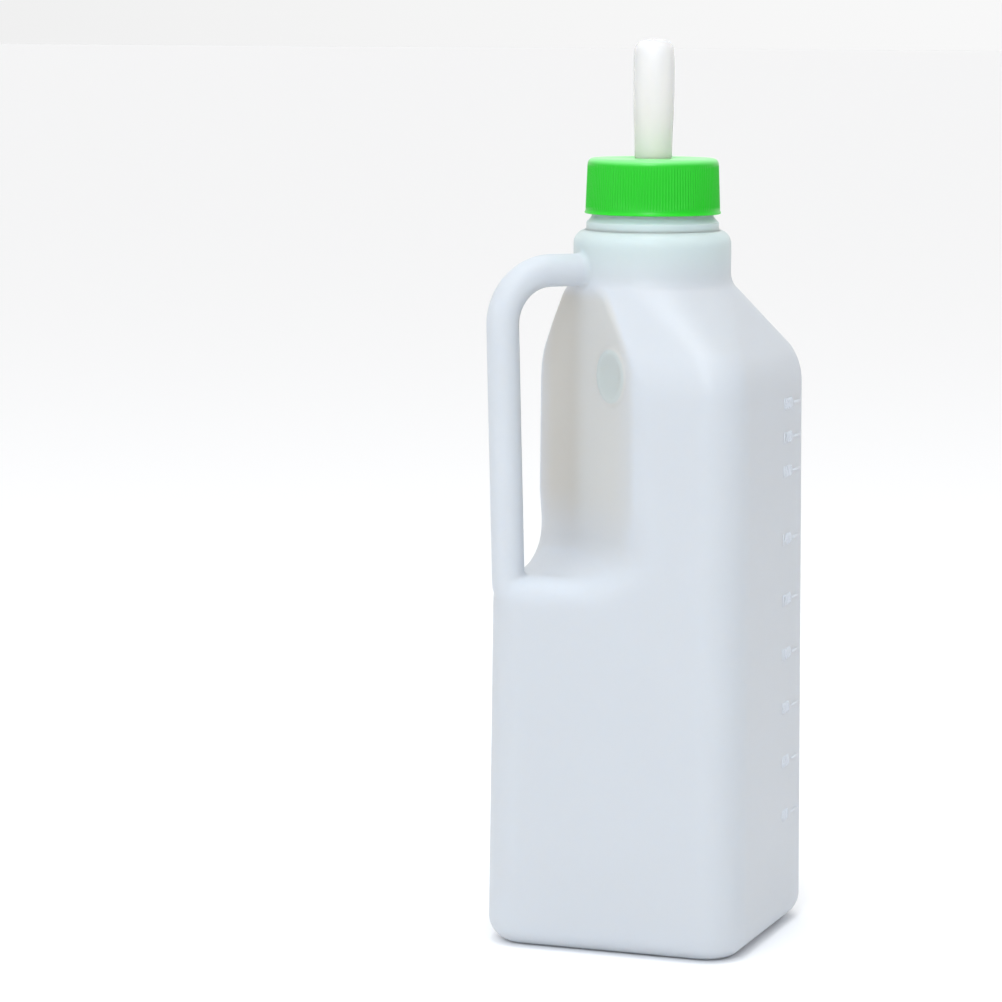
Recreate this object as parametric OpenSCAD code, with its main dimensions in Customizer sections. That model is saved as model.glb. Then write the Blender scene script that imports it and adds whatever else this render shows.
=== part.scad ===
// Calf feeding bottle: blow-moulded square bottle with a corner handle, screw ring cap and soft teat.
// Millimetres. Origin at the centre of the base, +Z up, the front face looks along -Y,
// the handle stands on the front-left corner (-X, -Y), the graduations are on the right face (+X).

/* [Body] */
// width and depth of the square body at the base
body_w = 102; // [100:0.5:104]
// how much each side leans in from the base to the shoulder
body_taper = 1.4; // [0.8:0.2:2]
// radius of the four upright corners
corner_r = 16; // [14:0.5:18]
// radius of the edge round the base
base_r = 10; // [7:0.5:11]
// blown wall thickness
wall_t = 1.4; // [1.2:0.1:1.8]
// height at which the sides start to turn in to the shoulder
shoulder_z = 211; // [209:1:213]
// slope of the shoulder's four faces, in degrees from upright
shoulder_tilt = 30.5; // [30:0.5:31]
// height of the dish pressed up into the base
dish_h = 3; // [2:0.5:4]

/* [Hand recess and handle] */
// distance of the ridge of the diagonal recess wall from the bottle axis
recess_s = 30.2; // [30.2:0.2:31]
// how far the wall's two halves fall back from the ridge, in degrees
recess_turn = 3.5; // [2:0.5:4]
// height of the recess floor
recess_z = 141.8; // [137.8:1:145.8]
// radius between the recess wall and its floor
recess_r = 16; // [12:1:18]
// diameter of the hollow handle
handle_d = 12.3; // [11.5:0.1:13]
// height of the handle's upper arm
handle_z = 256.3; // [255:0.1:257]
// bend radius of the handle's centre line
handle_bend = 19.8; // [18:0.2:22]
// distance of the handle from the axis just below the bend
handle_s = 62.6; // [61.5:0.1:63]
// outward lean of the upright part of the handle, in degrees
handle_lean = 1.7; // [1:0.1:2]
// diameter of the blank round medallion on the recess wall
medal_d = 22; // [18:1:24]
// distance of the medallion's middle from the ridge, along the wall
medal_t = 23.8; // [22:0.2:25]
// height of the medallion's middle
medal_z = 217.8; // [210:0.2:219]

/* [Collar and neck] */
// diameter of the collar that carries the handle
collar_d = 60; // [59:0.5:61]
// height of the top of the collar, where the neck ring sits
ring_z = 271.1; // [270.5:0.1:271.5]
// diameter of the neck ring
ring_d = 50.4; // [49:0.2:52]
// outside diameter of the neck under its thread
neck_d = 45.2; // [45:0.1:45.4]
// bore of the neck
bore_d = 41.2; // [40:0.2:42]
// pitch of the screw thread
pitch = 4.2; // [4:0.1:4.5]
// turns of thread on the neck
neck_turns = 1.5; // [1.25:0.05:1.5]

/* [Cap] */
// diameter over the grip ribs
cap_d = 51.2; // [51:0.1:51.8]
// height of the cap
cap_h = 21; // [21:0.1:21.4]
// diameter of the flared lip at the foot of the cap
lip_d = 51.8; // [51.8:0.2:53]
// number of grip ribs
ribs = 120; // [80:4:120]
// diameter of the hole that the teat stands in
hole_d = 14.4; // [14.4:0.1:14.8]

/* [Teat] */
// diameter of the teat
teat_d = 15.6; // [15.4:0.1:16]
// height of the teat above the cap
teat_h = 45; // [40:1:55]
// wall thickness of the teat
teat_t = 2; // [1.6:0.1:2.4]
// diameter of the flange held between the cap and the bottle's rim
flange_d = 44; // [42:0.5:45]
// bore of the milk hole at the tip
tip_hole = 1.6; // [1:0.1:2.4]

/* [Hidden] */
$fn = 96;
eps = 0.01;
hw = body_w / 2;
// the collar starts inside the shoulder, and its top edge is rounded
collar_z = shoulder_z + 36;
collar_edge = 5.4;
// the handle's bar starts inside the collar and its upright ends inside the body;
// the space inside it runs a little further both ways
arm_start = 24;
foot_l = 98;
overrun = [4, 8];
// cap and neck heights, all measured from the neck ring
cap_z = ring_z + 5.9;
cap_top = cap_z + cap_h;
deck_t = 2;
flange_t = 2.2;
// gaps round the teat: under and over its flange, and in the cap's hole
seat_gap = 0.3;
hole_gap = 0.35;
rim_z = cap_top - deck_t - flange_t - 2 * seat_gap;
skirt_in = 24.2;
// both threads: width at the root and the crest, height of the start above the cap's lip
thread_root = 2.2;
thread_crest = 1.0;
thread_start = 4;
neck_thread_rise = 1.1;
cap_thread_rise = 1.2;
cap_turns = 1.25;
// medallion: how far its rim stands out, how wide it is and how deep its disc is sunk
medal_rise = 0.6;
medal_rim = 1.4;
medal_sink = 0.4;
// volume marks in millilitres. The space inside has one cross-section below the recess
// floor and a smaller one beside the recess, so the marks stand in two even ladders
mark_ml = [400, 600, 800, 1000, 1200, 1400, 1600, 1700, 1800];
corner_loss = 0.86 * (corner_r - wall_t) ^ 2;
low_w = body_w - 2 * wall_t - 0.6 * body_taper;
low_area = low_w ^ 2 - corner_loss;
high_w = body_w - 2 * wall_t - 1.6 * body_taper;
cut_depth = high_w / sqrt(2) - recess_s + wall_t;
cut_area = cut_depth ^ 2 * (1 + tan(recess_turn));
handle_area = PI * (handle_d / 2 - wall_t) ^ 2;
high_area = high_w ^ 2 - 0.75 * corner_loss - cut_area + handle_area;
// the dish and the rounded foot raise the first marks by this much
foot_loss = 2.6;
floor_z = recess_z - wall_t;
floor_ml = (floor_z - foot_loss) * low_area / 1000;
dish_r = 38;
mark_y = 25;
mark_w = 8;
mark_t = 1.2;
mark_rise = 0.4;
mark_sunk = 0.8;
function mark_z(ml) = ml < floor_ml ? foot_loss + ml * 1000 / low_area
  : floor_z + (ml - floor_ml) * 1000 / high_area;

// ---- body form: a stack of rounded squares, joined by one hull ----
// the sides turn in to the shoulder on an arc. Above it the corners widen until the
// square has become the circle that the collar stands on
break_r = 30;
break_h = hw - body_taper - break_r;
slope_z = shoulder_z + break_r * sin(shoulder_tilt);
slope_h = break_h + break_r * cos(shoulder_tilt);
slope_r = corner_r - 1.5;
widening = 0.7;
shoulder_rise = 29;
function slope_at(rise) = slope_h - rise * tan(shoulder_tilt);
// each level is [height, half width, corner radius]
levels = concat(
  [for (a = [0:15:90]) [base_r * (1 - cos(a)),
    hw - base_r * (1 - sin(a)), corner_r - base_r * (1 - sin(a))]],
  [for (k = [0:0.25:1]) let (a = shoulder_tilt * k) [shoulder_z + break_r * sin(a),
    break_h + break_r * cos(a), corner_r + (slope_r - corner_r) * k]],
  [for (k = [0.2:0.2:1]) let (rise = shoulder_rise * k) [slope_z + rise,
    slope_at(rise), min(slope_r + widening * rise, slope_at(rise))]]);

// the convex body, shrunk by the distance t
module body_form(t) {
  hull()
    for (v = levels)
      for (sx = [-1, 1], sy = [-1, 1])
        translate([sx * (v[1] - v[2]), sy * (v[1] - v[2]), max(v[0], t)])
          cylinder(r = max(v[2] - t, 1), h = eps, $fn = 48);
}

// everything that faces along the handle's diagonal is drawn along +X and turned to (-X, -Y)
module to_corner() { rotate([0, 0, 225]) children(); }

// turned to one half of the recess wall: the ridge is the origin and the wall lies along Y
module to_wall(side) {
  to_corner() translate([recess_s, 0, 0]) rotate([0, 0, side * recess_turn]) children();
}

// hand recess: two wall halves that meet at the ridge, rounded inner corner and floor,
// grown by the distance t
module recess(t) {
  z = recess_z - t;
  r = recess_r;
  far = body_w;
  for (side = [-1, 1])
    to_wall(side)
      translate([-t, far, 0]) rotate([90, 0, 0])
        linear_extrude(2 * far)
          polygon(concat(
            [[0, cap_top], [0, z + r]],
            [for (a = [6:6:84]) [r - r * cos(a), z + r - r * sin(a)]],
            [[r, z], [far, z], [far, cap_top]]));
}

// handle: a round bar swept along the upper arm, the bend and the leaning upright,
// from the distance reach off the axis to the length foot below the bend
module handle_bar(d, reach, foot) {
  xb = handle_s - handle_bend;
  turn = 90 + handle_lean;
  n = 28;
  m = 14;
  bend = [for (i = [0:m - 2]) let (a = turn * i / (m - 2))
    [xb + handle_bend * sin(a), handle_z - handle_bend + handle_bend * cos(a), a]];
  last = bend[m - 2];
  path = concat([[reach, handle_z, 0]], bend,
    [[last[0] - foot * sin(handle_lean), last[1] - foot * cos(handle_lean), turn]]);
  pts = [for (q = path) for (j = [0:n - 1]) let (f = 360 * (j + 0.5) / n, r = d / 2 * 1.004)
    [q[0] + r * cos(f) * sin(q[2]), r * sin(f), q[1] + r * cos(f) * cos(q[2])]];
  sides = [for (i = [0:m - 1]) for (j = [0:n - 1])
    let (a = n * i + j, b = n * i + (j + 1) % n, c = b + n, e = a + n)
    each [[a, b, c], [a, c, e]]];
  to_corner()
    polyhedron(points = pts, faces = concat(sides, [[for (j = [n - 1:-1:0]) j]],
      [[for (j = [0:n - 1]) n * m + j]]), convexity = 4);
}

// collar and neck as turned shapes: outside
module neck_outside() {
  r = collar_d / 2;
  rr = ring_d / 2;
  e = collar_edge;
  rotate_extrude()
    polygon(concat(
      [[0, collar_z], [r, collar_z], [r, ring_z - e]],
      [for (a = [15:15:75]) [r - e + e * cos(a), ring_z - e + e * sin(a)]],
      [[r - e, ring_z], [rr - 0.3, ring_z], [rr, ring_z + 0.6], [rr, ring_z + 2.6],
       [rr - 0.7, ring_z + 3.6], [neck_d / 2 + 0.5, ring_z + 4.9],
       [neck_d / 2 + 0.5, ring_z + 6.4], [neck_d / 2, ring_z + 7],
       [neck_d / 2, rim_z - 0.6], [neck_d / 2 - 0.6, rim_z], [0, rim_z]]));
}

// collar and neck: the space inside
module neck_inside() {
  r = collar_d / 2 - wall_t;
  e = collar_edge - 1;
  b = bore_d / 2;
  rotate_extrude()
    polygon(concat(
      [[0, collar_z - 6], [r - 4, collar_z + wall_t], [r, collar_z + 4],
       [r, ring_z - wall_t - e]],
      [for (a = [15:15:75]) [r - e + e * cos(a), ring_z - wall_t - e + e * sin(a)]],
      [[r - e, ring_z - wall_t], [b + 1.5, ring_z - wall_t], [b, ring_z + 0.8],
       [b, rim_z + 1], [0, rim_z + 1]]));
}

// screw thread: a rib of trapezium section wound round the axis.
// r0 is the wall it stands on and r1 its crest; z is the height of its middle at the start
module thread(r0, r1, z, turns) {
  n = round(turns * 40);
  // the section is sunk 0.4 into the wall
  s = r1 > r0 ? 1 : -1;
  secs = [for (i = [0:n])
    let (a = 360 * turns * i / n,
         k = min(1, 0.12 + min(i, n - i) / 5),
         c = r0 + (r1 - r0) * k,
         zm = z + pitch * a / 360)
    [[r0 - s * 0.4, zm - thread_root / 2 * k - 0.05], [c, zm - thread_crest / 2 * k],
     [c, zm + thread_crest / 2 * k], [r0 - s * 0.4, zm + thread_root / 2 * k + 0.05], a]];
  pts = [for (q = secs) for (j = [0:3]) [q[j][0] * cos(q[4]), q[j][0] * sin(q[4]), q[j][1]]];
  sides = [for (i = [0:n - 1]) for (j = [0:3])
    let (a = 4 * i + j, b = 4 * i + (j + 1) % 4, c = b + 4, d = a + 4)
    each (s > 0 ? [[a, b, c], [a, c, d]] : [[a, c, b], [a, d, c]])];
  e = 4 * n;
  ends = s > 0 ? [[0, 3, 2], [0, 2, 1], [e, e + 1, e + 2], [e, e + 2, e + 3]]
    : [[0, 2, 3], [0, 1, 2], [e, e + 2, e + 1], [e, e + 3, e + 2]];
  polyhedron(points = pts, faces = concat(sides, ends), convexity = 6);
}

// half width of a side at height z, on the leaning part
function side_at(z) = hw - body_taper * (z - base_r) / (shoulder_z - base_r);

// blank round medallion, a raised rim round a sunken disc
module medal_place() {
  to_wall(1) translate([0, medal_t, medal_z]) rotate([0, 90, 0]) children();
}

// dish pressed up into the base, grown by the distance t
module dish(t) {
  translate([0, 0, -eps])
    cylinder(r1 = dish_r + t, r2 = dish_r - 4 + t, h = dish_h + t);
}

module bottle() {
  color([0.87, 0.90, 0.93, 0.9])
  difference() {
    union() {
      difference() {
        body_form(0);
        recess(0);
        // dish in the base, leaving a standing edge
        dish(0);
      }
      neck_outside();
      handle_bar(handle_d, arm_start, foot_l);
      // volume marks on the right side
      for (ml = mark_ml)
        translate([side_at(mark_z(ml)) - mark_sunk, mark_y, mark_z(ml) - mark_t / 2])
          cube([mark_sunk + mark_rise, mark_w, mark_t]);
      medal_place() cylinder(d = medal_d, h = medal_rise);
      thread(neck_d / 2, neck_d / 2 + neck_thread_rise, cap_z + thread_start, neck_turns);
    }
    difference() {
      body_form(wall_t);
      recess(wall_t);
      dish(wall_t);
    }
    neck_inside();
    handle_bar(handle_d - 2 * wall_t, arm_start - overrun[0], foot_l + overrun[1]);
    medal_place() translate([0, 0, -medal_sink]) cylinder(d = medal_d - 2 * medal_rim, h = 2);
  }
}

// outline of the ribbed skirt: one shallow tooth to each rib
module ribbed_disc() {
  r = cap_d / 2;
  polygon([for (i = [0:ribs - 1]) for (j = [0:2])
    let (a = 360 * (i + [0, 0.3, 0.62][j]) / ribs, q = [r - 0.4, r, r][j])
    [q * cos(a), q * sin(a)]]);
}

module cap() {
  r = cap_d / 2;
  lip_r = lip_d / 2;
  color([0.18, 0.72, 0.24])
  difference() {
    union() {
      translate([0, 0, cap_z + 2]) linear_extrude(cap_h - 4.4) ribbed_disc();
      // plain body, flared lip and rounded top edge
      rotate_extrude()
        polygon([[0, cap_z], [lip_r - 0.3, cap_z], [lip_r, cap_z + 0.4],
          [lip_r, cap_z + 1.0], [r + 0.1, cap_z + 2.2],
          [r - 0.9, cap_z + 2.5], [r - 0.9, cap_top - 2.7],
          [r - 0.1, cap_top - 2.1], [r - 0.4, cap_top - 1.3], [r - 1.1, cap_top - 0.55],
          [r - 1.9, cap_top - 0.1], [r - 2.6, cap_top], [0, cap_top]]);
    }
    // space for the neck
    translate([0, 0, cap_z - 1]) cylinder(r = skirt_in, h = cap_h - deck_t + 1);
    translate([0, 0, cap_z - 1]) cylinder(d = hole_d, h = cap_h + 2);
  }
  color([0.18, 0.72, 0.24])
  thread(skirt_in, skirt_in - cap_thread_rise, cap_z + thread_start - pitch / 2, cap_turns);
}

module teat() {
  r = teat_d / 2;
  g = hole_d / 2 - hole_gap;
  top = cap_top + teat_h;
  bed = cap_top - deck_t - seat_gap - flange_t;
  color([0.95, 0.94, 0.90, 0.85])
  difference() {
    rotate_extrude()
      polygon(concat(
        [[0, bed], [flange_d / 2, bed], [flange_d / 2, bed + flange_t], [g, bed + flange_t],
         [g, cap_top + 0.3], [r - 0.7, cap_top + 0.3], [r - 0.6, cap_top + 1.5],
         [r - 0.6, cap_top + 6], [r - 0.1, cap_top + 18], [r, top - 9]],
        [for (a = [0:10:80]) [r - 4.8 + 4.8 * cos(a), top - 5.4 + 4.8 * sin(a)]],
        [[r - 5.6, top - 0.3], [1.6, top - 0.05], [0, top]]));
    // milk space, open below
    rotate_extrude()
      polygon(concat(
        [[0, bed - 1], [r - teat_t + 1.6, bed - 1], [r - teat_t + 1.6, bed + 0.4],
         [g - teat_t, bed + flange_t], [g - teat_t, cap_top + 1.5],
         [r - teat_t - 0.4, cap_top + 8], [r - teat_t, cap_top + 18], [r - teat_t, top - 9]],
        [for (a = [10:10:80]) [r - teat_t - 4 + 4 * cos(a), top - 7 + 4 * sin(a)]],
        [[r - teat_t - 4.6, top - 2.9], [0, top - 2.8]]));
    cylinder(d = tip_hole, h = top + 1, $fn = 24);
  }
}

bottle();
cap();
teat();
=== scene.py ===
"""Looks of the calf feeding bottle: translucent blow-moulded bottle, green ribbed cap, soft teat.

Lengths are in millimetres until a mesh is made; add_mesh() turns them into metres.
The bottle's body, collar and handle are one smooth surface, found as the zero level of a
distance field, so that every edge and joint between them is rounded as on a real moulding.
"""
import math

import bpy
import numpy as np
from mathutils import Matrix, Vector


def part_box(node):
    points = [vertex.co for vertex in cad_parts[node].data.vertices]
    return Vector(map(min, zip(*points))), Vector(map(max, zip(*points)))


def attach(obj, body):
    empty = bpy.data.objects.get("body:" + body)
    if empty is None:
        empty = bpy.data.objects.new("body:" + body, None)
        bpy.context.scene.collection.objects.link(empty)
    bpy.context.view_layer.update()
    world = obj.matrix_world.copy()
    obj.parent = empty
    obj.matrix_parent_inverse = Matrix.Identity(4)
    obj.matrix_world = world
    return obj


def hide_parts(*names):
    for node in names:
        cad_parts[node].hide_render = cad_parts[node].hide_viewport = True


MM = 0.001

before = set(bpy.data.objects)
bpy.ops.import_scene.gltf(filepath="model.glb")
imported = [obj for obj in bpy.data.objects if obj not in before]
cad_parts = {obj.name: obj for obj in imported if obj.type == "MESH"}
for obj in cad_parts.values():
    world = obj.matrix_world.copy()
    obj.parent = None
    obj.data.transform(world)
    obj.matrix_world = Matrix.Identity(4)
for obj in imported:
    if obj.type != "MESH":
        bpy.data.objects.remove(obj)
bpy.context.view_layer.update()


def node_box(name):
    """Lowest and highest corner of a CAD node, in millimetres."""
    low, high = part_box(name)
    return Vector(low) / MM, Vector(high) / MM


bottle_low, bottle_high = node_box("bottle")
cap_low, cap_high = node_box("cap")
teat_low, teat_high = node_box("teat")

# ---- sizes of the bottle, in step with the CAD part ----
HALF = -bottle_low.x                # half the width of the square body at its base
TAPER = 1.4                         # how far each side leans in by the shoulder
CORNER_R = 16.0
BASE_R = 10.0
SHOULDER_Z = 211.0
SHOULDER_TILT = math.radians(30.5)  # turn from the upright side to the shoulder slope
SHOULDER_ROUND = 30.0
CORNER_LOSS = 1.5                   # the corners' radius shrinks by this over the shoulder's arc
WIDENING = 0.7                      # how fast the corners open into the collar's circle
WALL = 1.5
CAD_WALL = 1.4                      # the CAD's wall, which sets the volume marks
DISH_R, DISH_H = 38.0, 3.0
BODY_TOP = 260.0                    # the body ends inside the collar
RECESS_S, RECESS_Z, RECESS_R = 30.2, 141.8, 16.0
RECESS_TURN = math.radians(3.5)     # how far each half of the wall falls back from its ridge
RIDGE_ROUND = 2.0
HANDLE_R = 6.15
HANDLE_Z, HANDLE_BEND, HANDLE_S = 256.3, 19.8, 62.6
HANDLE_LEAN = math.radians(1.7)
HANDLE_START, HANDLE_FOOT = 22.0, 98.0
RIM_Z = bottle_high.z
RING_Z = RIM_Z - 22.1
COLLAR_R, COLLAR_EDGE = 30.0, 5.4
COLLAR_START = SHOULDER_Z + 36.0
COLLAR_OPENING = 22.4               # the turned neck stands in an opening of this radius
RING_R = 25.2
NECK_R, BORE_R = 22.6, 20.6
MEDAL_T, MEDAL_Z, MEDAL_R = 23.8, 217.8, 11.0
MEDAL_STEPS = (0.0, 3.0, 6.0, 8.2, 9.6, 10.3, MEDAL_R)
MEDAL_RISE = (-0.3, -0.25, 0.1, 0.9, 1.0, 0.6, 0.0)   # at those distances from its middle
PITCH = 4.2
NECK_TURNS, CAP_TURNS = 1.5, 1.25
THREAD_START = 4.0                  # height of the neck thread's start above the cap's lip
THREAD_RISE = 1.1
THREAD_SUNK = 0.4                   # how far a thread's root is sunk into its wall
CAP_Z, CAP_TOP = cap_low.z, cap_high.z
LIP_R = cap_high.x
CAP_R = LIP_R - 0.1
TEAT_TOP = teat_high.z
TEAT_R = 7.8
CAP_BORE = 24.2
CAP_HOLE = 7.2
RIBS, STEPS_PER_RIB, RIB_DEPTH = 140, 6, 0.32
MARKS = (400, 600, 800, 1000, 1200, 1400, 1600, 1700, 1800)
BAR_Y, NUMERAL_Y = 29.0, 16.5
ROOT_HALF = math.sqrt(0.5)

# ---- the moulding's soft edges and the fineness of its two skins ----
COLLAR_BLEND, HANDLE_BLEND = 1.2, 1.6
DISH_EDGE, DISH_BLEND = 2.5, 1.5
OUTER_STEP, INNER_STEP = 1.3, 2.5


# ---- distance fields ----
def smooth_min(a, b, k):
    """The lesser of a and b, with the crease between them blended over about k."""
    h = np.clip(0.5 + 0.5 * (b - a) / k, 0.0, 1.0)
    return b + (a - b) * h - k * h * (1.0 - h)


def smooth_max(a, b, k):
    """The greater of a and b, blended the same way."""
    return -smooth_min(-a, -b, k)


def rounded(a, b, r):
    """Distance to where both a and b are below 0, with their meeting edge rounded to r."""
    a, b = a + r, b + r
    return np.minimum(np.maximum(a, b), 0.0) + np.hypot(np.maximum(a, 0), np.maximum(b, 0)) - r


def square(x, y, half, r):
    """Distance to a square of the given half width with rounded corners, in plan."""
    return rounded(np.abs(x) - half, np.abs(y) - half, r)


def lean(z):
    """How far the sides have leant in at a height."""
    return TAPER * np.clip((z - BASE_R) / (SHOULDER_Z - BASE_R), 0.0, 1.0)


def shoulder(z):
    """Half width, corner radius and cosine of the slope at a height."""
    tilt = np.arcsin(np.clip((z - SHOULDER_Z) / SHOULDER_ROUND, 0.0, math.sin(SHOULDER_TILT)))
    rise = np.maximum(z - SHOULDER_Z - SHOULDER_ROUND * math.sin(SHOULDER_TILT), 0.0)
    half = HALF - lean(z) - SHOULDER_ROUND * (1 - np.cos(tilt)) - rise * math.tan(SHOULDER_TILT)
    corner = CORNER_R - CORNER_LOSS * tilt / SHOULDER_TILT + WIDENING * rise
    return half, np.minimum(corner, half), np.cos(tilt)


def body_field(x, y, z):
    """The square body and its shoulder, before the recess is cut."""
    half, corner, level = shoulder(z)
    solid = rounded(square(x, y, half, corner) * level, -z, BASE_R)
    return np.maximum(solid, z - BODY_TOP)


def medallion(t, z):
    """How far the blank round medallion stands out from the wall: a rim round a sunk disc."""
    away = np.hypot(t - MEDAL_T, z - MEDAL_Z)
    return np.interp(away, MEDAL_STEPS, MEDAL_RISE)


def recess_field(s, t, z):
    """Space of the hand recess: outside its two wall halves and above its floor."""
    back = np.sqrt(t * t + RIDGE_ROUND ** 2) - RIDGE_ROUND / 2
    wall = RECESS_S - math.tan(RECESS_TURN) * back
    return rounded(wall + medallion(t, z) - s, RECESS_Z - z, RECESS_R)


def edge_softness(z):
    """The recess has a broad edge round its floor and a crisp one on the shoulder."""
    return np.interp(z, (148.0, 168.0, 215.0, 234.0), (10.0, 4.5, 4.5, 1.6))


def handle_field(s, t, z):
    """The round bar along the arm, the bend and the leaning upright, s being its distance out."""
    bend_s, bend_z = HANDLE_S - HANDLE_BEND, HANDLE_Z - HANDLE_BEND
    ds, dz = s - bend_s, z - bend_z
    arm = np.hypot(np.maximum(np.maximum(HANDLE_START - s, s - bend_s), 0.0), z - HANDLE_Z)
    turn = math.pi / 2 + HANDLE_LEAN
    angle = np.clip(np.arctan2(ds, dz), 0.0, turn)
    bend = np.hypot(ds - HANDLE_BEND * np.sin(angle), dz - HANDLE_BEND * np.cos(angle))
    end_s, end_z = HANDLE_BEND * math.sin(turn), HANDLE_BEND * math.cos(turn)
    down_s, down_z = -math.sin(HANDLE_LEAN), -math.cos(HANDLE_LEAN)
    along = np.clip((ds - end_s) * down_s + (dz - end_z) * down_z, 0.0, HANDLE_FOOT)
    upright = np.hypot(ds - end_s - along * down_s, dz - end_z - along * down_z)
    path = np.minimum(np.minimum(arm, bend), upright)
    return np.hypot(path, t) - HANDLE_R


def outer_field(x, y, z):
    """The moulding's outside: below 0 within body, collar or handle."""
    s = -(x + y) * ROOT_HALF
    t = (x - y) * ROOT_HALF
    around = np.hypot(x, y)
    solid = smooth_max(body_field(x, y, z), -recess_field(s, t, z), edge_softness(z))
    collar = np.maximum(rounded(around - COLLAR_R, z - RING_Z, COLLAR_EDGE), COLLAR_START - z)
    solid = smooth_min(solid, collar, COLLAR_BLEND)
    solid = smooth_min(solid, handle_field(s, t, z), HANDLE_BLEND)
    dish = rounded(around - DISH_R, z - DISH_H, DISH_EDGE)
    return smooth_max(solid, -dish, DISH_BLEND)


def inner_field(x, y, z):
    return outer_field(x, y, z) + WALL


def zero_surface(field, low, high, step):
    """Vertices and quads of the surface where field is 0, one vertex to each crossed cell."""
    axes = [np.arange(a, b + step, step, dtype=np.float32) for a, b in zip(low, high)]
    values = np.empty([len(a) for a in axes], np.float32)
    slab = 24
    for k in range(0, len(axes[2]), slab):
        x, y, z = np.meshgrid(axes[0], axes[1], axes[2][k:k + slab], indexing="ij")
        values[:, :, k:k + slab] = field(x, y, z)
    inside = values < 0
    corners = [(i, j, k) for i in (0, 1) for j in (0, 1) for k in (0, 1)]
    size = [n - 1 for n in values.shape]

    def at(array, c):
        return array[c[0]:c[0] + size[0], c[1]:c[1] + size[1], c[2]:c[2] + size[2]]

    count = sum(at(inside, c).astype(np.uint8) for c in corners)
    cells = np.argwhere((count > 0) & (count < 8))
    index = np.full(size, -1, np.int64)
    index[tuple(cells.T)] = np.arange(len(cells))
    total = np.zeros((len(cells), 3))
    crossings = np.zeros(len(cells))
    for a in corners:
        for axis in range(3):
            if a[axis]:
                continue
            b = tuple(c + (n == axis) for n, c in enumerate(a))
            fa = values[tuple((cells + a).T)]
            fb = values[tuple((cells + b).T)]
            crossed = (fa < 0) != (fb < 0)
            share = np.where(crossed, fa / np.where(crossed, fa - fb, 1.0), 0.0)
            point = cells + np.array(a, float)
            point[:, axis] += share
            total += point * crossed[:, None]
            crossings += crossed
    verts = np.array([a[0] for a in axes]) + total / crossings[:, None] * step
    quads = []
    for axis in range(3):
        u, v = (axis + 1) % 3, (axis + 2) % 3
        first = [slice(1, n - 1) for n in values.shape]
        second = list(first)
        first[axis], second[axis] = slice(0, -1), slice(1, None)
        near, far = inside[tuple(first)], inside[tuple(second)]
        edge = np.argwhere(near != far)
        outward = near[tuple(edge.T)]
        base = edge.copy()
        base[:, u] += 1
        base[:, v] += 1
        ring = []
        for du, dv in ((-1, -1), (0, -1), (0, 0), (-1, 0)):
            cell = base.copy()
            cell[:, u] += du
            cell[:, v] += dv
            ring.append(index[tuple(cell.T)])
        ring = np.stack(ring, 1)
        quads.append(np.where(outward[:, None], ring, ring[:, ::-1]))
    quads = np.concatenate(quads)
    return settle(field, verts, step), quads


def slope_of(field, p):
    """The field's gradient at each point."""
    h = 0.15
    grad = np.empty_like(p)
    for axis in range(3):
        shift = np.zeros(3)
        shift[axis] = h
        grad[:, axis] = (field(*(p + shift).T) - field(*(p - shift).T)) / (2 * h)
    return grad


def settle(field, p, step):
    """Moves the points onto the zero level."""
    for _ in range(3):
        grad = slope_of(field, p)
        move = field(*p.T)[:, None] * grad / np.maximum((grad ** 2).sum(1), 0.05)[:, None]
        p = p - np.clip(move, -step, step)
    return p


# ---- meshes ----
def add_mesh(name, verts, faces, material, body, slot):
    """A smooth-shaded mesh that rides its CAD body."""
    mesh = bpy.data.meshes.new(name)
    mesh.from_pydata((np.asarray(verts, float) * MM).tolist(), [], [list(f) for f in faces])
    mesh.validate()
    mesh.polygons.foreach_set("use_smooth", [True] * len(mesh.polygons))
    mesh.materials.append(material)
    mesh.update()
    obj = bpy.data.objects.new(name, mesh)
    bpy.context.scene.collection.objects.link(obj)
    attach(obj, body)
    return obj


def join_shells(*shells):
    """Several (verts, faces) as one."""
    verts, faces, start = [], [], 0
    for v, f in shells:
        verts.append(np.asarray(v, float))
        faces += [[start + i for i in face] for face in f]
        start += len(v)
    return np.concatenate(verts), faces


def keep_faces(verts, quads, keep):
    """The faces whose centres pass keep(x, y, z), and only the vertices that they use."""
    centre = verts[quads].mean(1)
    quads = quads[keep(*centre.T)]
    used, renumbered = np.unique(quads, return_inverse=True)
    return verts[used], renumbered.reshape(quads.shape)


def lathe(profile, steps, radius_at=None, closed=True):
    """A profile of (radius, height) turned round Z. radius_at(row, angle) may add to a radius."""
    angles = np.linspace(0, 2 * math.pi, steps, endpoint=False)
    rows = len(profile)
    verts = []
    for n, (r, z) in enumerate(profile):
        extra = radius_at(n, angles) if radius_at else 0.0
        verts.append(np.stack([(r + extra) * np.cos(angles), (r + extra) * np.sin(angles),
                               np.full(steps, z)], 1))
    faces = []
    for n in range(rows if closed else rows - 1):
        a, b = n * steps, (n + 1) % rows * steps
        faces += [[a + j, a + (j + 1) % steps, b + (j + 1) % steps, b + j] for j in range(steps)]
    return np.concatenate(verts), faces


def arc(cx, cz, r, start, end, steps):
    """Points of a profile's arc, in degrees from the outward direction."""
    return [(cx + r * math.cos(math.radians(start + (end - start) * n / steps)),
             cz + r * math.sin(math.radians(start + (end - start) * n / steps)))
            for n in range(steps + 1)]


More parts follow.
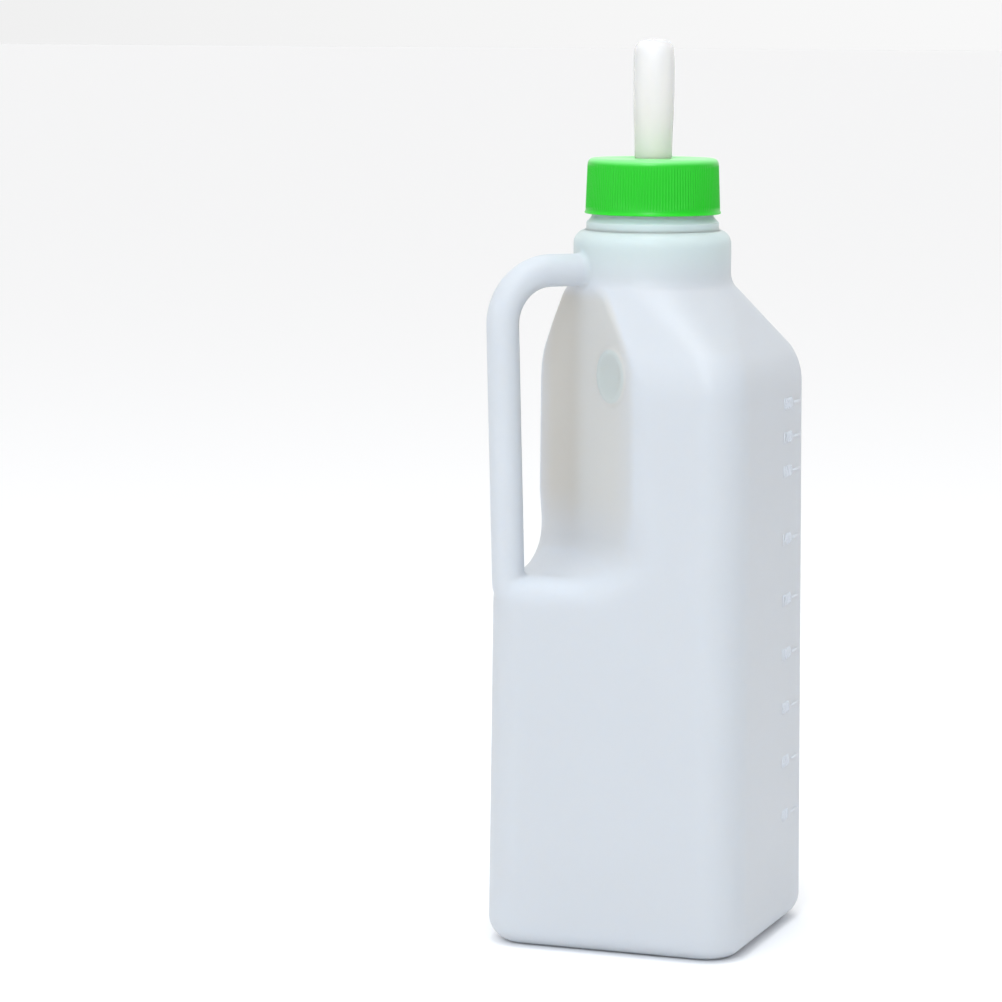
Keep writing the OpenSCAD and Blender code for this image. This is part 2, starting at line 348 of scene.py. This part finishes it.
def thread(wall_r, crest_r, z, turns):
    """A screw thread of rounded trapezium section, tapering away at both ends.

    Each point of the section is a share of the thread's depth and a height. A share below 0
    is the root, sunk into the wall.
    """
    steps = round(turns * 90)
    side = 1 if crest_r > wall_r else -1
    section = [(-1.0, -1.15), (0.0, -1.05), (0.55, -0.72), (0.92, -0.5), (1.0, -0.3),
               (1.0, 0.3), (0.92, 0.5), (0.55, 0.72), (0.0, 1.05), (-1.0, 1.15)]
    verts, faces = [], []
    for n in range(steps + 1):
        angle = 2 * math.pi * turns * n / steps
        full = math.sin(math.pi / 2 * min(1.0, 0.08 + min(n, steps - n) / 12))
        mid = z + PITCH * angle / (2 * math.pi)
        for depth, height in section:
            r = wall_r + (crest_r - wall_r) * depth * full
            if depth < 0:
                r = wall_r - side * THREAD_SUNK
            verts.append((r * math.cos(angle), r * math.sin(angle), mid + height * full))
    m = len(section)
    for n in range(steps):
        for j in range(m):
            a, b = n * m + j, n * m + (j + 1) % m
            quad = [a, b, b + m, a + m]
            faces.append(quad if side < 0 else quad[::-1])
    first = list(range(m))
    last = [steps * m + j for j in range(m)]
    faces += [first[::-1], last] if side < 0 else [first, last[::-1]]
    return np.array(verts), faces


# ---- materials ----
PLASTIC = (0.705, 0.76, 0.84)
# Painted green glow: the cap's green light tinting the collar and neck.
NECK_CAP_GLOW_PLASTIC = (0.68, 0.83, 0.85)
# Painted shade for the recess wall, deeper on the half turned away from the light.
RECESS_SHADE_PLASTIC = (0.70, 0.71, 0.69)
RECESS_DEEP_SHADE_PLASTIC = (0.62, 0.60, 0.55)
# Painted shade for the medallion's disc.
MEDAL_SHADE_PLASTIC = (0.60, 0.66, 0.65)
MARK_PLASTIC = (0.65, 0.69, 0.75)


def principled(name, colour, roughness, **inputs):
    """A material and its shader. Other inputs are given by name, with _ for each space."""
    material = bpy.data.materials.new(name)
    material.use_nodes = True
    shader = material.node_tree.nodes["Principled BSDF"]
    shader.inputs["Base Color"].default_value = (*colour, 1.0)
    shader.inputs["Roughness"].default_value = roughness
    for key, value in inputs.items():
        shader.inputs[key.replace("_", " ")].default_value = value
    return material, shader


def add_bump(material, shader, scale, strength, distance, detail=3.0):
    """Slight unevenness of the surface."""
    nodes, links = material.node_tree.nodes, material.node_tree.links
    place = nodes.new("ShaderNodeTexCoord")
    noise = nodes.new("ShaderNodeTexNoise")
    noise.inputs["Scale"].default_value = scale
    noise.inputs["Detail"].default_value = detail
    bump = nodes.new("ShaderNodeBump")
    bump.inputs["Strength"].default_value = strength
    bump.inputs["Distance"].default_value = distance
    links.new(place.outputs["Object"], noise.inputs["Vector"])
    links.new(noise.outputs["Fac"], bump.inputs["Height"])
    links.new(bump.outputs["Normal"], shader.inputs["Normal"])


def colour_by_height(material, shader, stops, waver):
    """Base colour from stops of (height in mm, colour), moved down by a slow noise."""
    nodes, links = material.node_tree.nodes, material.node_tree.links
    place = nodes.new("ShaderNodeTexCoord")
    split = nodes.new("ShaderNodeSeparateXYZ")
    noise = nodes.new("ShaderNodeTexNoise")
    noise.inputs["Scale"].default_value = 18.0
    sway = nodes.new("ShaderNodeMath")
    sway.operation = "MULTIPLY_ADD"
    sway.inputs[1].default_value = waver * MM
    low, high = stops[0][0] * MM, stops[-1][0] * MM
    share = nodes.new("ShaderNodeMapRange")
    share.inputs["From Min"].default_value = low
    share.inputs["From Max"].default_value = high
    ramp = nodes.new("ShaderNodeValToRGB")
    ramp.color_ramp.interpolation = "EASE"
    for n, (height, colour) in enumerate(stops):
        at = (height * MM - low) / (high - low)
        point = ramp.color_ramp.elements[n] if n < 2 else ramp.color_ramp.elements.new(at)
        point.position = at
        point.color = (*colour, 1.0)
    links.new(place.outputs["Object"], split.inputs["Vector"])
    links.new(place.outputs["Object"], noise.inputs["Vector"])
    links.new(noise.outputs["Fac"], sway.inputs[0])
    links.new(split.outputs["Z"], sway.inputs[2])
    links.new(sway.outputs["Value"], share.inputs["Value"])
    links.new(share.outputs["Result"], ramp.inputs["Fac"])
    links.new(ramp.outputs["Color"], shader.inputs["Base Color"])


def ease(material, value, start, end):
    """0 where value is at start or before it, 1 at end or past it, both in mm."""
    node = material.node_tree.nodes.new("ShaderNodeMapRange")
    node.interpolation_type = "SMOOTHSTEP"
    node.inputs["From Min"].default_value = start * MM
    node.inputs["From Max"].default_value = end * MM
    material.node_tree.links.new(value, node.inputs["Value"])
    return node.outputs["Result"]


def vector_maths(material, operation, vector, other, result):
    """A vector maths node on a socket and a fixed vector, giving its output named result."""
    node = material.node_tree.nodes.new("ShaderNodeVectorMath")
    node.operation = operation
    node.inputs[1].default_value = other
    material.node_tree.links.new(vector, node.inputs[0])
    return node.outputs[result]


def product(material, *values):
    """The product of two or more value sockets."""
    result = values[0]
    for value in values[1:]:
        node = material.node_tree.nodes.new("ShaderNodeMath")
        node.operation = "MULTIPLY"
        material.node_tree.links.new(result, node.inputs[0])
        material.node_tree.links.new(value, node.inputs[1])
        result = node.outputs["Value"]
    return result


def blend(material, share, colour_a, colour_b):
    """Colour A going to colour B as share goes from 0 to 1. Either may be a socket."""
    node = material.node_tree.nodes.new("ShaderNodeMix")
    node.data_type = "RGBA"
    colour_sockets = [i for i in node.inputs if i.type == "RGBA"]
    for socket, colour in zip(colour_sockets, (colour_a, colour_b)):
        if isinstance(colour, tuple):
            socket.default_value = (*colour, 1.0)
        else:
            material.node_tree.links.new(colour, socket)
    material.node_tree.links.new(share, node.inputs["Factor"])
    return next(o for o in node.outputs if o.type == "RGBA")


def bottle_colours(material, shader):
    """Milky plastic with painted light: a painted green glow from the cap on collar and neck,
    painted warm shade on the recess wall and painted shade on the medallion.
    """
    place = material.node_tree.nodes.new("ShaderNodeTexCoord").outputs["Object"]
    height = vector_maths(material, "DOT_PRODUCT", place, (0.0, 0.0, 1.0), "Value")
    depth = vector_maths(material, "DOT_PRODUCT", place, (-ROOT_HALF, -ROOT_HALF, 0.0), "Value")
    along = vector_maths(material, "DOT_PRODUCT", place, (ROOT_HALF, -ROOT_HALF, 0.0), "Value")
    flat = vector_maths(material, "MULTIPLY", place, (1.0, 1.0, 0.0), "Vector")
    around = vector_maths(material, "LENGTH", flat, (0.0, 0.0, 0.0), "Value")
    medal = (Vector((-ROOT_HALF, -ROOT_HALF, 0.0)) * (RECESS_S - MEDAL_T * math.tan(RECESS_TURN))
             + Vector((ROOT_HALF, -ROOT_HALF, 0.0)) * MEDAL_T + Vector((0.0, 0.0, MEDAL_Z))) * MM
    from_medal = vector_maths(material, "DISTANCE", place, tuple(medal), "Value")
    # Painted green glow on collar and neck, as if lit through the green cap.
    cap_glow_share = product(material, ease(material, around, 33.5, 29.5),
                      ease(material, height, 248, 268))
    # Painted shade on the recess wall: darker and warmer, deepest on the half turned from the
    # light.
    recess_shade_share = product(material, ease(material, depth, 27, 28.8), ease(material, depth, 33, 31.2),
                      ease(material, height, 140, 175), ease(material, height, 252, 244))
    wall = blend(material, ease(material, along, -10, 8), RECESS_DEEP_SHADE_PLASTIC, RECESS_SHADE_PLASTIC)
    colour = blend(material, cap_glow_share, PLASTIC, NECK_CAP_GLOW_PLASTIC)
    colour = blend(material, recess_shade_share, colour, wall)
    # Painted shade on the medallion's disc, standing in for the shading of its relief.
    colour = blend(material, ease(material, from_medal, 10.6, 9.6), colour, MEDAL_SHADE_PLASTIC)
    material.node_tree.links.new(colour, shader.inputs["Base Color"])


def bottle_material():
    material, shader = principled(
        "natural_polyethylene", PLASTIC, 0.42, Specular_IOR_Level=0.35,
        Subsurface_Weight=0.8, Subsurface_Scale=0.005, Subsurface_Radius=(0.9, 1.0, 1.1),
        IOR=1.5, Transmission_Weight=0.25)
    bottle_colours(material, shader)
    add_bump(material, shader, 45.0, 0.12, 0.0006, 2.0)
    return material


def marks_material():
    """The same plastic for the volume marks, which stand on the wall and hide nothing."""
    material, shader = principled("marked_polyethylene", MARK_PLASTIC, 0.42,
                                  Specular_IOR_Level=0.35)
    add_bump(material, shader, 45.0, 0.12, 0.0006, 2.0)
    return material


def cap_material():
    material, shader = principled(
        "green_plastic", (0.01, 0.46, 0.012), 0.32, Specular_IOR_Level=0.4,
        Subsurface_Weight=0.1, Subsurface_Scale=0.001, Subsurface_Radius=(0.3, 1.0, 0.3))
    # Painted light in the base colour: a painted rim light on the lip and a painted highlight
    # along the rounded top edge.
    colour_by_height(material, shader, [
        (CAP_Z, (0.012, 0.60, 0.012)), (CAP_Z + 3, (0.008, 0.46, 0.010)),
        (CAP_TOP - 2, (0.010, 0.48, 0.012)), (CAP_TOP + 0.5, (0.22, 0.76, 0.24))], 1.0)
    add_bump(material, shader, 900.0, 0.04, 0.0002)
    return material


def teat_material():
    material, shader = principled(
        "translucent_silicone", (0.97, 0.955, 0.93), 0.16,
        Subsurface_Weight=0.6, Subsurface_Scale=0.003, Subsurface_Radius=(1.0, 0.95, 0.85),
        IOR=1.41, Transmission_Weight=0.45)
    # Painted shade: the teat's foot is warmer and darker where it goes into the cap, lightening
    # towards the tip.
    colour_by_height(material, shader, [
        (CAP_TOP - 8, (0.98, 0.82, 0.76)), (CAP_TOP + 10, (0.99, 0.93, 0.90)),
        (TEAT_TOP, (0.99, 0.975, 0.965))], 10.0)
    add_bump(material, shader, 300.0, 0.03, 0.0003)
    return material


# ---- bottle ----
def neck_finish():
    """The turned neck: ring, plain neck, rim and bore, as one closed ring."""
    foot = RING_Z - 1.9
    n, r, b = NECK_R, RING_R, BORE_R
    profile = [(b, foot), (r - 1.6, foot), (r + 0.5, RING_Z - 0.8), (r + 0.8, RING_Z - 0.15),
               (r + 0.35, RING_Z + 0.06), (r + 0.1, RING_Z + 0.35), (r, RING_Z + 0.9)]
    profile += arc(r - 0.6, RING_Z + 2.4, 0.6, 0, 45, 3)
    profile += [(r - 0.8, RING_Z + 3.4), (r - 1.5, RING_Z + 4.2), (n + 0.7, RING_Z + 4.8),
                (n + 0.5, RING_Z + 5.3), (n + 0.5, RING_Z + 6.2), (n, RING_Z + 7.0)]
    profile += arc(n - 0.6, RIM_Z - 0.6, 0.6, 0, 90, 4)
    profile += arc(b + 0.4, RIM_Z - 0.4, 0.4, 90, 180, 4)
    return lathe(profile, 160)


def outside_opening(top):
    """A test for keep_faces: all but what closes the neck's opening above the height top."""
    return lambda x, y, z: (np.hypot(x, y) > COLLAR_OPENING) | (z < top)


def bottle_shells():
    """The moulding's outer and inner skin, with the neck left open."""
    low, high = (-HALF - 2, -HALF - 2, -2), (HALF + 2, HALF + 2, RING_Z + 2)
    outer = zero_surface(outer_field, low, high, OUTER_STEP)
    outer = keep_faces(*outer, outside_opening(RING_Z - 0.6))
    inner = zero_surface(inner_field, low, high, INNER_STEP)
    inner = keep_faces(*inner, outside_opening(RING_Z - WALL - 0.6))
    inner = (inner[0], [f[::-1] for f in inner[1].tolist()])
    return (outer[0], outer[1].tolist()), inner


def make_bottle(material):
    outer, inner = bottle_shells()
    neck = neck_finish()
    screw = thread(NECK_R, NECK_R + THREAD_RISE, CAP_Z + THREAD_START, NECK_TURNS)
    verts, faces = join_shells(outer, inner, neck, screw)
    obj = add_mesh("bottle_moulding", verts, faces, material, "bottle", "bottle")
    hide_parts("bottle")
    return obj


# ---- volume marks ----
def mark_height(ml):
    """Height of a volume mark: one even ladder below the recess floor and one beside it."""
    corner = 0.86 * (CORNER_R - CAD_WALL) ** 2
    low_w = 2 * HALF - 2 * CAD_WALL - 0.6 * TAPER
    high_w = 2 * HALF - 2 * CAD_WALL - 1.6 * TAPER
    low_area = low_w ** 2 - corner
    cut = (high_w * ROOT_HALF - RECESS_S + CAD_WALL) ** 2 * (1 + math.tan(RECESS_TURN))
    high_area = high_w ** 2 - 0.75 * corner - cut + math.pi * (HANDLE_R - CAD_WALL) ** 2
    floor = RECESS_Z - CAD_WALL
    foot_loss = 2.6
    floor_ml = (floor - foot_loss) * low_area / 1000
    if ml < floor_ml:
        return foot_loss + ml * 1000 / low_area
    return floor + (ml - floor_ml) * 1000 / high_area


def side_x(z):
    """How far out the leaning right side stands at a height."""
    return HALF - TAPER * (z - BASE_R) / (SHOULDER_Z - BASE_R)


def bar(ml):
    """A raised bar with rounded ends on the right side."""
    z0, x0 = mark_height(ml), side_x(mark_height(ml))
    half_l, end_r = 3.4, 0.6
    outline = [(half_l * side + end_r * math.cos(a), end_r * math.sin(a))
               for side, start in ((1, -90), (-1, 90))
               for a in [math.radians(start + 30 * n) for n in range(7)]]
    layers = [(-0.5, 1.0), (0.08, 1.0), (0.2, 0.6)]
    verts = [(x0 + rise, BAR_Y + y * (1 - 0.1 * (1 - k)), z0 + z * k)
             for rise, k in layers for y, z in outline]
    m = len(outline)
    faces = [[a * m + j, a * m + (j + 1) % m, (a + 1) * m + (j + 1) % m, (a + 1) * m + j]
             for a in range(2) for j in range(m)]
    faces += [[2 * m + j for j in range(m)], list(range(m))[::-1]]
    return verts, faces


def make_marks(material):
    """All the bars as one piece, and each mark's numerals."""
    verts, faces = join_shells(*[bar(ml) for ml in MARKS])
    add_mesh("volume_bars", verts, faces, material, "bottle", "bottle")
    for ml in MARKS:
        curve = bpy.data.curves.new(f"volume_{ml}", "FONT")
        curve.body = str(ml)
        curve.size = 6.4 * MM
        curve.align_x, curve.align_y = "CENTER", "CENTER"
        curve.extrude = 0.16 * MM
        curve.bevel_depth = 0.1 * MM
        curve.bevel_resolution = 1
        text = bpy.data.objects.new(f"volume_{ml}", curve)
        bpy.context.scene.collection.objects.link(text)
        z = mark_height(ml)
        turn = Matrix(((0, 0, 1, (side_x(z) - 0.05) * MM), (1, 0, 0, NUMERAL_Y * MM),
                       (0, 1, 0, z * MM), (0, 0, 0, 1)))
        bpy.context.view_layer.update()
        mesh = bpy.data.meshes.new_from_object(text)
        bpy.data.objects.remove(text)
        mesh.transform(turn)
        mesh.materials.clear()
        mesh.materials.append(material)
        obj = bpy.data.objects.new(f"volume_{ml}", mesh)
        bpy.context.scene.collection.objects.link(obj)
        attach(obj, "bottle")


# ---- cap ----
def make_cap(material):
    """The ring cap: lip, ribbed grip, rounded top edge, deck with its hole, bore and thread."""
    outside = [(LIP_R - 0.45, CAP_Z), (LIP_R - 0.12, CAP_Z + 0.1), (LIP_R, CAP_Z + 0.35),
               (LIP_R - 0.02, CAP_Z + 0.7), (LIP_R - 0.2, CAP_Z + 0.95),
               (CAP_R - 0.2, CAP_Z + 1.3), (CAP_R - 0.25, CAP_Z + 1.6)]
    rows = [(2.3, 0.25), (3.0, 1.0), (7.0, 1.0), (12.0, 1.0), (16.0, 1.0), (17.4, 1.0),
            (18.2, 0.4)]
    grip = [(CAP_R - 0.15 - height * 0.038, CAP_Z + height) for height, share in rows]
    edge = arc(CAP_R - 3.2, CAP_TOP - 2.3, 2.3, 0, 82, 10)
    hole, bore = CAP_HOLE, CAP_BORE
    deck = [(bore - 3.4, CAP_TOP), (hole + 0.5, CAP_TOP), (hole, CAP_TOP - 0.5),
            (hole, CAP_TOP - 1.6), (hole + 0.4, CAP_TOP - 2.0), (bore - 0.8, CAP_TOP - 2.0),
            (bore, CAP_TOP - 2.8), (bore, CAP_Z + 0.6), (bore + 0.4, CAP_Z)]
    profile = outside + grip + edge + deck
    depth = {len(outside) + n: share for n, (height, share) in enumerate(rows)}

    def rib(row, angles):
        wave = 0.5 + 0.5 * np.cos(angles * RIBS)
        return -RIB_DEPTH * depth.get(row, 0.0) * (1 - wave) ** 1.5

    shell = lathe(profile, RIBS * STEPS_PER_RIB, rib)
    screw = thread(bore, bore - 1.2, CAP_Z + THREAD_START - PITCH / 2, CAP_TURNS)
    verts, faces = join_shells(shell, screw)
    obj = add_mesh("screw_cap", verts, faces, material, "cap", "cap")
    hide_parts("cap")
    return obj


# ---- teat ----
def make_teat(material):
    """The teat: flange under the cap's deck, neck in its hole, stem, tip and milk space."""
    r, top = TEAT_R, TEAT_TOP
    bed = teat_low.z
    flange_r = teat_high.x
    flange_t = 2.2
    neck = 6.85
    outside = [(flange_r - 0.5, bed), (flange_r, bed + 0.5), (flange_r, bed + flange_t - 0.5),
               (flange_r - 0.5, bed + flange_t), (neck + 0.5, bed + flange_t),
               (neck, bed + flange_t + 0.4), (neck, CAP_TOP + 0.05), (neck + 0.1, CAP_TOP + 0.2),
               (r - 0.72, CAP_TOP + 0.5), (r - 0.65, CAP_TOP + 2.5), (r - 0.55, CAP_TOP + 8),
               (r - 0.2, CAP_TOP + 16), (r - 0.03, CAP_TOP + 24), (r, top - 12),
               (r - 0.05, top - 8), (r - 0.2, top - 6.2)]
    outside += arc(r - 5.0, top - 5.1, 4.85, 14, 84, 12)
    outside += [(1.6, top - 0.22), (1.1, top - 0.16), (0.9, top - 0.03), (0.6, top),
                (0.42, top - 0.15), (0.35, top - 0.6)]
    inside = [(0.35, top - 2.2), (0.7, top - 2.6)]
    inside += arc(1.6, top - 6.6, 4.0, 84, 8, 12)
    inside += [(r - 2.05, top - 9), (r - 2.0, top - 14), (r - 2.1, CAP_TOP + 14),
               (r - 2.5, CAP_TOP + 8), (r - 3.0, CAP_TOP + 4.5), (neck - 2.0, CAP_TOP + 1.5),
               (neck - 2.0, bed + flange_t), (neck - 1.4, bed)]
    obj = add_mesh("teat_silicone", *lathe(outside + inside, 96), material, "teat", "teat")
    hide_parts("teat")
    return obj


# ---- studio ----
WORLD_LIGHT = 1.13
SIDE_LIGHT = 0.4
SIDE_MIDDLE = -0.1
HORIZON_LIGHT = 0.84
HORIZON_RISE = 0.13


def make_stage():
    """A plain pale floor."""
    mesh = bpy.data.meshes.new("floor")
    size = 60.0
    mesh.from_pydata([(-size, -size, 0), (size, -size, 0), (size, size, 0), (-size, size, 0)],
                     [], [(0, 1, 2, 3)])
    floor = bpy.data.objects.new("floor", mesh)
    floor.data.materials.append(principled("pale_floor", (0.95, 0.95, 0.955), 0.8)[0])
    bpy.context.scene.collection.objects.link(floor)


def make_world():
    """White all round, dimmer to the left and right, and as dim as the floor at the horizon."""
    world = bpy.data.worlds.new("studio")
    world.use_nodes = True
    nodes, links = world.node_tree.nodes, world.node_tree.links
    background = nodes["Background"]
    place = nodes.new("ShaderNodeTexCoord")
    split = nodes.new("ShaderNodeSeparateXYZ")
    from_middle = nodes.new("ShaderNodeMath")
    from_middle.operation = "SUBTRACT"
    from_middle.inputs[1].default_value = SIDE_MIDDLE
    sideways = nodes.new("ShaderNodeMath")
    sideways.operation = "POWER"
    sideways.inputs[1].default_value = 2.0
    dimming = nodes.new("ShaderNodeMapRange")
    dimming.inputs["To Min"].default_value = WORLD_LIGHT
    dimming.inputs["To Max"].default_value = WORLD_LIGHT * SIDE_LIGHT
    rising = nodes.new("ShaderNodeMapRange")
    rising.interpolation_type = "SMOOTHSTEP"
    rising.inputs["From Max"].default_value = HORIZON_RISE
    rising.inputs["To Min"].default_value = HORIZON_LIGHT
    strength = nodes.new("ShaderNodeMath")
    strength.operation = "MULTIPLY"
    links.new(place.outputs["Generated"], split.inputs["Vector"])
    links.new(split.outputs["X"], from_middle.inputs[0])
    links.new(from_middle.outputs["Value"], sideways.inputs[0])
    links.new(sideways.outputs["Value"], dimming.inputs["Value"])
    links.new(split.outputs["Z"], rising.inputs["Value"])
    links.new(dimming.outputs["Result"], strength.inputs[0])
    links.new(rising.outputs["Result"], strength.inputs[1])
    links.new(strength.outputs["Value"], background.inputs["Strength"])
    background.inputs["Color"].default_value = (1.0, 1.0, 1.0, 1.0)
    bpy.context.scene.world = world
    bpy.context.scene.view_settings.view_transform = "Standard"


def area_light(name, place, target, width, height, power, colour):
    """A soft box at a place, aimed at a target."""
    data = bpy.data.lights.new(name, "AREA")
    data.shape = "RECTANGLE"
    data.size, data.size_y = width, height
    data.energy = power
    data.color = colour
    light = bpy.data.objects.new(name, data)
    light.location = place
    light.rotation_mode = "QUATERNION"
    light.rotation_quaternion = (Vector(target) - Vector(place)).to_track_quat("-Z", "Y")
    bpy.context.scene.collection.objects.link(light)


def make_lights():
    middle = (0, 0, 0.17)
    area_light("key", (0.3, -1.6, 1.15), middle, 0.5, 0.7, 11.0, (0.86, 0.93, 1.0))
    area_light("top", (0.1, -0.25, 1.6), middle, 0.6, 0.6, 7.0, (0.9, 0.95, 1.0))


def make_camera():
    """Camera to the right of the front face and a little above, with a long lens."""
    yaw, pitch, roll = math.radians(20.12), math.radians(7.08), math.radians(0.29)
    distance, height, aside = 1.4534, 0.3471, -0.0571
    back = Vector((math.sin(yaw) * math.cos(pitch), -math.cos(yaw) * math.cos(pitch),
                   math.sin(pitch)))
    right = Vector((math.cos(yaw), math.sin(yaw), 0))
    up = back.cross(right)
    image_right = right * math.cos(roll) + up * math.sin(roll)
    image_up = up * math.cos(roll) - right * math.sin(roll)
    data = bpy.data.cameras.new("camera")
    data.sensor_width = 36.0
    data.lens = 137.18
    camera = bpy.data.objects.new("camera", data)
    place = Vector((math.sin(yaw), -math.cos(yaw), 0)) * distance + right * aside
    place.z = height
    axes = Matrix((image_right, image_up, back)).transposed()
    camera.matrix_world = Matrix.Translation(place) @ axes.to_4x4()
    bpy.context.scene.collection.objects.link(camera)
    bpy.context.scene.camera = camera


plastic = bottle_material()
make_bottle(plastic)
make_marks(marks_material())
make_cap(cap_material())
make_teat(teat_material())
make_stage()
make_world()
make_lights()
make_camera()
